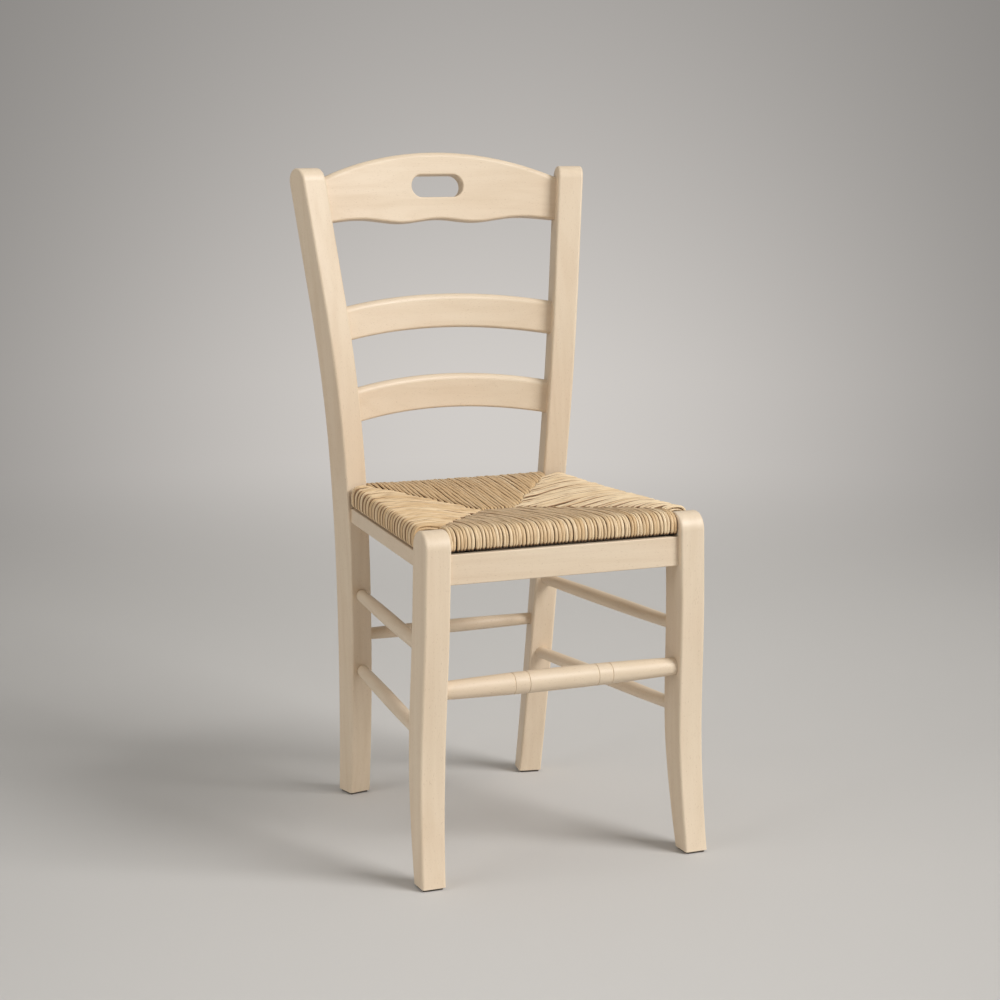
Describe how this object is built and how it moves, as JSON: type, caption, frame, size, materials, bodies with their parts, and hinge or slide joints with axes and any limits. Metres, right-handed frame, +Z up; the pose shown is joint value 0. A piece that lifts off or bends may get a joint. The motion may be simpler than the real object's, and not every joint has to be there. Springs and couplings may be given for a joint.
{
  "type": "ladderback chair",
  "caption": "Wooden dining chair with a ladder back, a crest rail with a handle slot, a woven drop-in rush seat and turned stretchers.",
  "frame": {"origin": "on the floor, under the middle of the chair's bounding box", "axes": "+Z up, the chair faces -Y, +X is the chair's right-hand side as seen from the front"},
  "size_m": [0.4306, 0.472, 0.9014],
  "materials": {
    "wood_upright": "bleached beech, satin lacquer, grain upright",
    "wood_across": "bleached beech, satin lacquer, grain from side to side",
    "wood_side": "bleached beech, satin lacquer, grain from front to back",
    "raw_wood": "planed beech without finish",
    "dowel_wood": "turned beech without finish",
    "rush": "twisted natural rush, matt to slightly glossy",
    "straw": "loose dry straw",
    "steel": "zinc plated",
    "glide": "dark matt plastic"
  },
  "bodies": {
    "root": {"front_leg_left": "wood_upright", "front_leg_right": "wood_upright", "rear_post_left": "wood_upright", "rear_post_right": "wood_upright", "crest_rail": "wood_across", "upper_slat": "wood_across", "lower_slat": "wood_across", "front_seat_rail": "wood_across", "rear_seat_rail": "wood_across", "front_stretcher": "wood_across", "rear_stretcher": "wood_across", "side_seat_rail_left": "wood_side", "side_seat_rail_right": "wood_side", "side_stretcher_upper_left": "wood_side", "side_stretcher_upper_right": "wood_side", "side_stretcher_lower_left": "wood_side", "side_stretcher_lower_right": "wood_side", "corner_block_front_left": "raw_wood", "corner_block_front_right": "raw_wood", "corner_block_rear_left": "raw_wood", "corner_block_rear_right": "raw_wood", "seat_frame_front": "raw_wood", "seat_frame_rear": "raw_wood", "seat_frame_left": "raw_wood", "seat_frame_right": "raw_wood", "front_rail_dowels": "dowel_wood", "rear_rail_dowels": "dowel_wood", "seat_frame_dowels": "dowel_wood", "rush_seat": "rush", "straw_packing": "straw", "seat_screws": "steel", "corner_block_screws": "steel", "glide_nails": "steel", "glide_front_left": "glide", "glide_front_right": "glide", "glide_rear_left": "glide", "glide_rear_right": "glide"}
  },
  "joints": []
}
